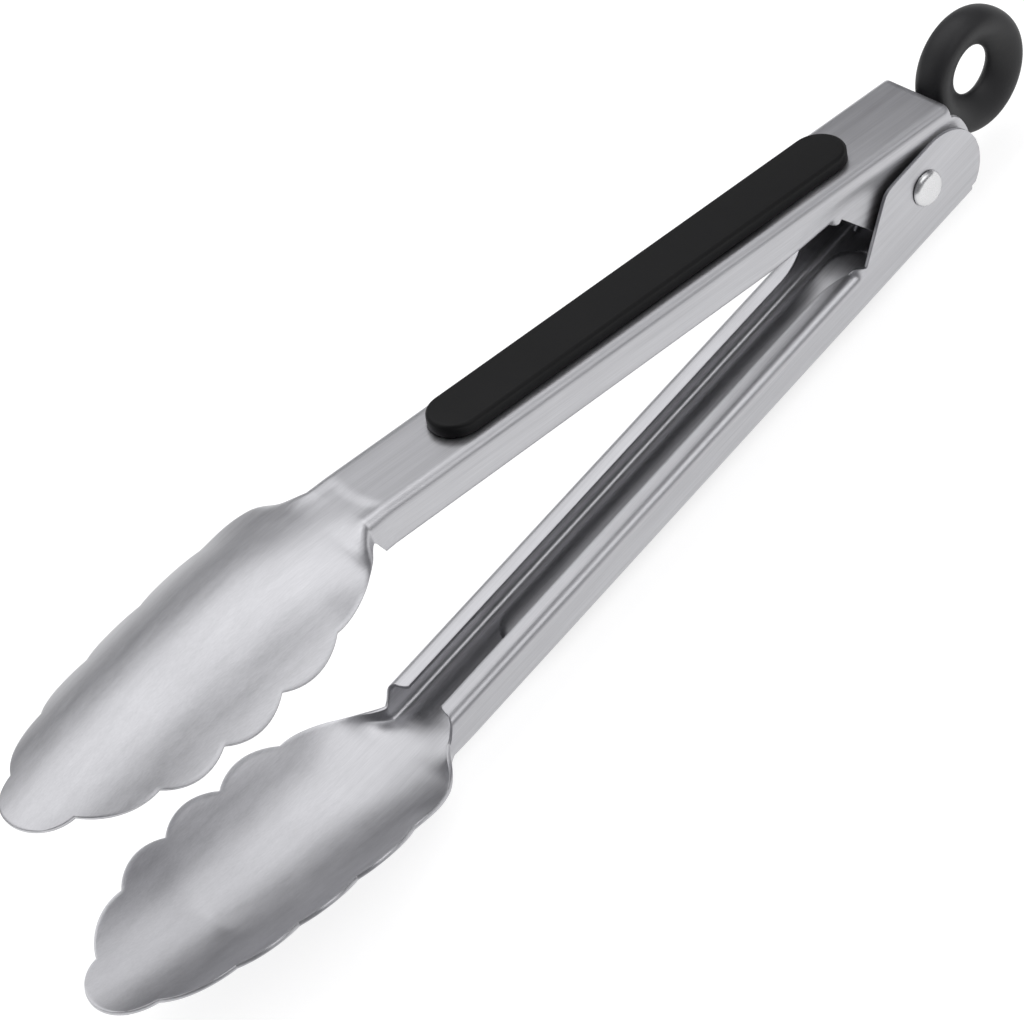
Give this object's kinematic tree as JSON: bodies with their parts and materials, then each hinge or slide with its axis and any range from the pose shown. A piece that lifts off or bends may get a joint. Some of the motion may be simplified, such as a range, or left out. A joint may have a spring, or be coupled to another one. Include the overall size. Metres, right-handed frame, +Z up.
{
  "type": "spring loaded kitchen tongs",
  "caption": "Sprung stainless kitchen tongs with scalloped spoon heads, soft black grip pads and a black pull ring that works the lock plate.",
  "frame": {"origin": "middle of the flat underside of the lower grip pad, which the tongs lie on", "axes": "+X along the lower arm to the pull ring, +Y along the pivot rivet, +Z up, the way the upper arm opens"},
  "size_m": [0.2705, 0.0436, 0.0721],
  "materials": {
    "arm_steel": "satin, grain along the arm",
    "rivet_steel": "tumbled bright",
    "spring_steel": "drawn wire",
    "grip_rubber": "soft matt",
    "ring_plastic": "matt moulded"
  },
  "bodies": {
    "lower_arm": {"lower_arm": "arm_steel", "lower_grip_pad": "grip_rubber", "torsion_spring": "spring_steel"},
    "upper_arm": {"upper_arm": "arm_steel", "upper_grip_pad": "grip_rubber"},
    "pivot": {"pivot_rivet": "rivet_steel", "spacer_bush": "rivet_steel", "pivot_washer_left": "rivet_steel", "pivot_washer_right": "rivet_steel"},
    "lock": {"lock_plate": "arm_steel", "pull_ring": "ring_plastic"}
  },
  "joints": [
    {"name": "arm_hinge", "type": "hinge", "parent": "lower_arm", "child": "upper_arm", "pos_m": [0.06765, 0, 0.015], "axis": [0, 1, 0], "range_deg": [-12.4, 0], "stiffness_Nm_per_rad": 0.9, "springref_deg": 16.04, "deforming": ["torsion_spring"]},
    {"name": "ring_tilt", "type": "hinge", "parent": "lower_arm", "child": "pivot", "pos_m": [0.06765, 0, 0.015], "axis": [0, 1, 0], "range_deg": [-2, 22]},
    {"name": "ring_pull", "type": "slide", "parent": "pivot", "child": "lock", "axis": [0.9888, 0, 0.1495], "range_m": [0, 0.006]}
  ]
}
